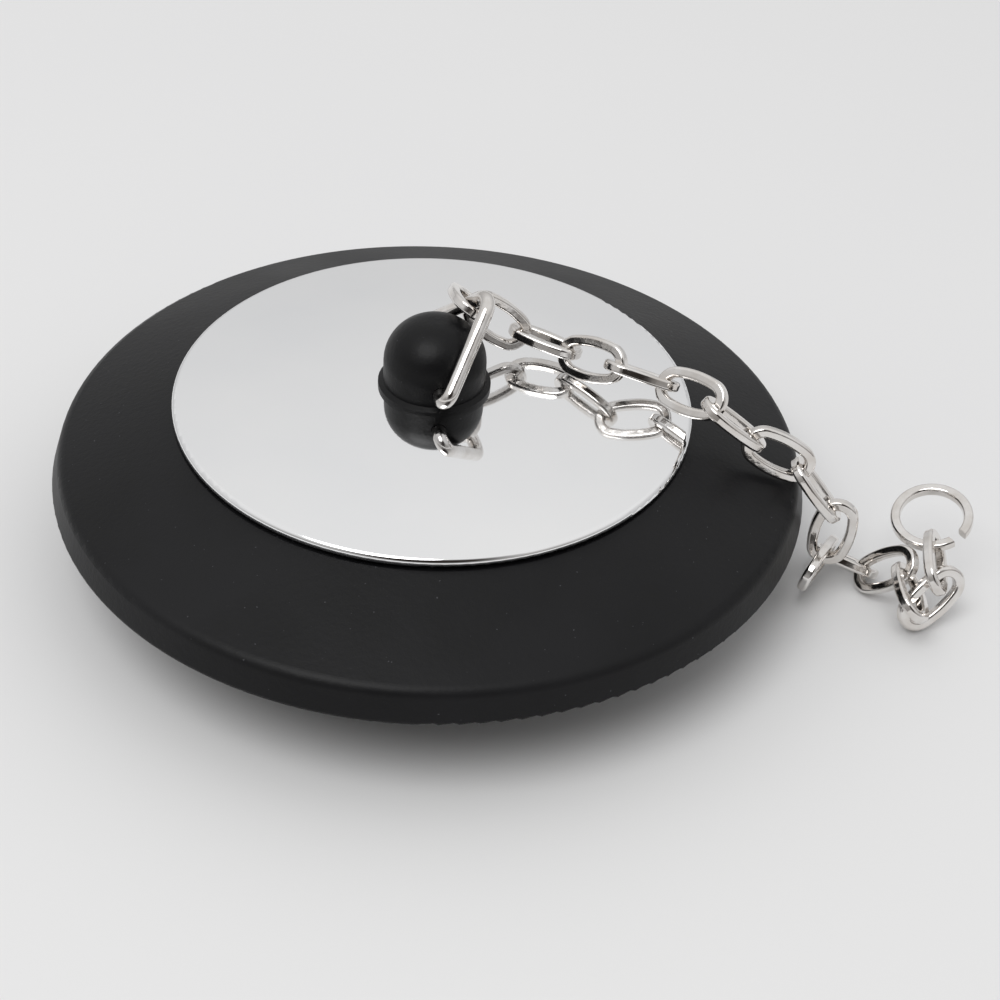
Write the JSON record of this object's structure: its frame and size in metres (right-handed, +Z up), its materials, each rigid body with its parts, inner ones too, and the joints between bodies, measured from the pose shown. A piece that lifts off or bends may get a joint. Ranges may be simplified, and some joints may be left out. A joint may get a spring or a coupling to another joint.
{
  "type": "drain stopper",
  "caption": "Round black rubber drain stopper with a mirror-polished steel cover plate, a wire bail on its domed boss, and a flattened oval link chain that ends in an open ring.",
  "frame": {"origin": "On the stopper's axis, on the flat underside that it stands on.", "axes": "+Z up along the stopper's axis, +X towards the side where the chain lies, +Y away from the viewer of the picture."},
  "size_m": [0.1083, 0.088, 0.0332],
  "materials": {
    "rubber": "satin black moulded rubber",
    "polished_plate": "mirror polished steel",
    "bright_wire": "bright nickel-chrome plated wire"
  },
  "bodies": {
    "plug": {"rubber_plug": "rubber", "cover_plate": "polished_plate"},
    "bail": {"bail": "bright_wire"},
    "link_01": {"link_01": "bright_wire"},
    "link_02": {"link_02": "bright_wire"},
    "link_03": {"link_03": "bright_wire"},
    "link_04": {"link_04": "bright_wire"},
    "link_05": {"link_05": "bright_wire"},
    "link_06": {"link_06": "bright_wire"},
    "link_07": {"link_07": "bright_wire"},
    "link_08": {"link_08": "bright_wire"},
    "link_09": {"link_09": "bright_wire"},
    "link_10": {"link_10": "bright_wire"},
    "link_11": {"link_11": "bright_wire"},
    "link_12": {"link_12": "bright_wire"},
    "link_13": {"link_13": "bright_wire"},
    "link_14": {"link_14": "bright_wire"},
    "link_15": {"link_15": "bright_wire"},
    "link_16": {"link_16": "bright_wire"},
    "end_ring": {"end_ring": "bright_wire"}
  },
  "joints": [
    {"name": "bail_swing", "type": "hinge", "parent": "plug", "child": "bail", "pos_m": [0, 0, 0.024], "axis": [0.1219, -0.9925, 0], "range_deg": [0, 110]},
    {"name": "link_01_swing", "type": "hinge", "parent": "bail", "child": "link_01", "pos_m": [0.00383, 0.00263, 0.03011], "axis": [-0.513, -0.2911, -0.8075], "range_deg": [0, 8]},
    {"name": "link_02_swing", "type": "hinge", "parent": "link_01", "child": "link_02", "pos_m": [0.005, 0.0064, 0.02773], "axis": [-0.215, 0.9536, -0.2109], "range_deg": [-75, 0]},
    {"name": "link_03_swing", "type": "hinge", "parent": "link_02", "child": "link_03", "pos_m": [0.00918, 0.00666, 0.02467], "axis": [-0.1934, 0.9569, -0.2169], "range_deg": [-60, 0]},
    {"name": "link_04_swing", "type": "hinge", "parent": "link_03", "child": "link_04", "pos_m": [0.01614, 0.00387, 0.0236], "axis": [-0.6166, -0.6999, 0.3605], "range_deg": [0, 90]},
    {"name": "link_05_swing", "type": "hinge", "parent": "link_04", "child": "link_05", "pos_m": [0.0213, -0.00007, 0.02455], "axis": [0.2212, 0.3765, 0.8996], "range_deg": [-30, 0]},
    {"name": "link_06_swing", "type": "hinge", "parent": "link_05", "child": "link_06", "pos_m": [0.02717, -0.00188, 0.02355], "axis": [0.5794, 0.6256, -0.5225], "range_deg": [-90, 0]},
    {"name": "link_07_swing", "type": "hinge", "parent": "link_06", "child": "link_07", "pos_m": [0.03186, -0.00629, 0.02354], "axis": [-0.6094, -0.1664, -0.7752], "range_deg": [0, 60]},
    {"name": "link_08_swing", "type": "hinge", "parent": "link_07", "child": "link_08", "pos_m": [0.03709, -0.00728, 0.01991], "axis": [-0.0115, -0.984, 0.1778], "range_deg": [0, 60]},
    {"name": "link_09_swing", "type": "hinge", "parent": "link_08", "child": "link_09", "pos_m": [0.04252, -0.00798, 0.01642], "axis": [0.7457, 0.0839, 0.6609], "range_deg": [-35, 20]},
    {"name": "link_10_swing", "type": "hinge", "parent": "link_09", "child": "link_10", "pos_m": [0.04591, -0.00919, 0.01266], "axis": [0.7162, -0.1456, 0.6826], "range_deg": [-20, 30]},
    {"name": "link_11_swing", "type": "hinge", "parent": "link_10", "child": "link_11", "pos_m": [0.04664, -0.00953, 0.0066], "axis": [-0.5048, -0.858, 0.0955], "range_deg": [-20, 48]},
    {"name": "link_12_swing", "type": "hinge", "parent": "link_11", "child": "link_12", "pos_m": [0.04767, -0.0066, 0.00347], "axis": [-0.4469, -0.402, -0.7992], "range_deg": [-90, 28]},
    {"name": "link_13_swing", "type": "hinge", "parent": "link_12", "child": "link_13", "pos_m": [0.05267, -0.00865, 0.00235], "axis": [-0.8058, -0.2853, 0.519], "range_deg": [-90, 56]},
    {"name": "link_14_swing", "type": "hinge", "parent": "link_13", "child": "link_14", "pos_m": [0.05583, -0.01251, 0.00511], "axis": [0.5585, -0.0444, 0.8283], "range_deg": [-80, 29]},
    {"name": "link_15_swing", "type": "hinge", "parent": "link_14", "child": "link_15", "pos_m": [0.05635, -0.01496, 0.00463], "axis": [0.6166, 0.3948, 0.6811], "range_deg": [-45, 35]},
    {"name": "link_16_swing", "type": "hinge", "parent": "link_15", "child": "link_16", "pos_m": [0.05899, -0.01358, 0.00668], "axis": [-0.8247, -0.36, -0.4362], "range_deg": [-80, 13]},
    {"name": "end_ring_swing", "type": "hinge", "parent": "link_16", "child": "end_ring", "pos_m": [0.05932, -0.00958, 0.0076], "axis": [0.9688, -0.1222, 0.2155], "range_deg": [-90, 60]}
  ]
}
